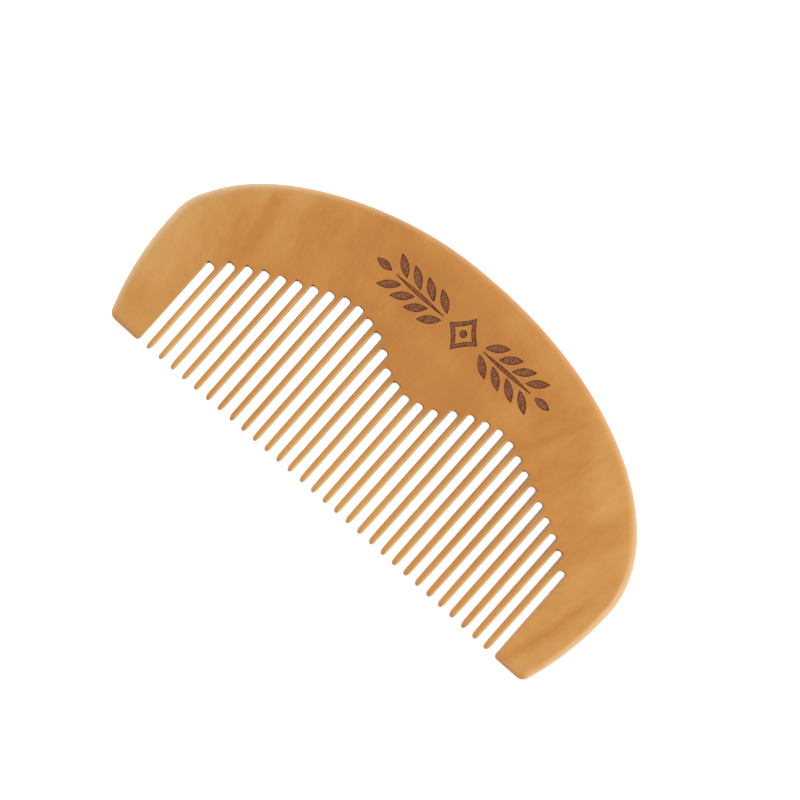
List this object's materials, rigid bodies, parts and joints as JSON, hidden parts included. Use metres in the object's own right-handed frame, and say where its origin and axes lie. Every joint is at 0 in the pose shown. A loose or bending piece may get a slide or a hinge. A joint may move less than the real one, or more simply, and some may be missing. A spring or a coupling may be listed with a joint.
{
  "type": "beard comb",
  "caption": "Half-moon wooden pocket comb for beards: a broad rounded back, two wide end guards and fine straight teeth whose roots follow a wavy line.",
  "frame": {"origin": "under the middle of the comb's box, at the height of the flat rear face that it lies on", "axes": "+X along the comb from the left guard to the right guard, +Y from the tooth tips to the crown, +Z through the thickness, out of the front face"},
  "size_m": [0.115, 0.0544, 0.0066],
  "materials": {
    "fruitwood": "finely sanded, waxed, satin"
  },
  "bodies": {
    "root": {"comb_back": "fruitwood", "left_guard": "fruitwood", "right_guard": "fruitwood", "tooth_01": "fruitwood", "tooth_02": "fruitwood", "tooth_03": "fruitwood", "tooth_04": "fruitwood", "tooth_05": "fruitwood", "tooth_06": "fruitwood", "tooth_07": "fruitwood", "tooth_08": "fruitwood", "tooth_09": "fruitwood", "tooth_10": "fruitwood", "tooth_11": "fruitwood", "tooth_12": "fruitwood", "tooth_13": "fruitwood", "tooth_14": "fruitwood", "tooth_15": "fruitwood", "tooth_16": "fruitwood", "tooth_17": "fruitwood", "tooth_18": "fruitwood", "tooth_19": "fruitwood", "tooth_20": "fruitwood", "tooth_21": "fruitwood", "tooth_22": "fruitwood", "tooth_23": "fruitwood", "tooth_24": "fruitwood", "tooth_25": "fruitwood", "tooth_26": "fruitwood", "tooth_27": "fruitwood", "tooth_28": "fruitwood", "tooth_29": "fruitwood", "tooth_30": "fruitwood"}
  },
  "joints": []
}
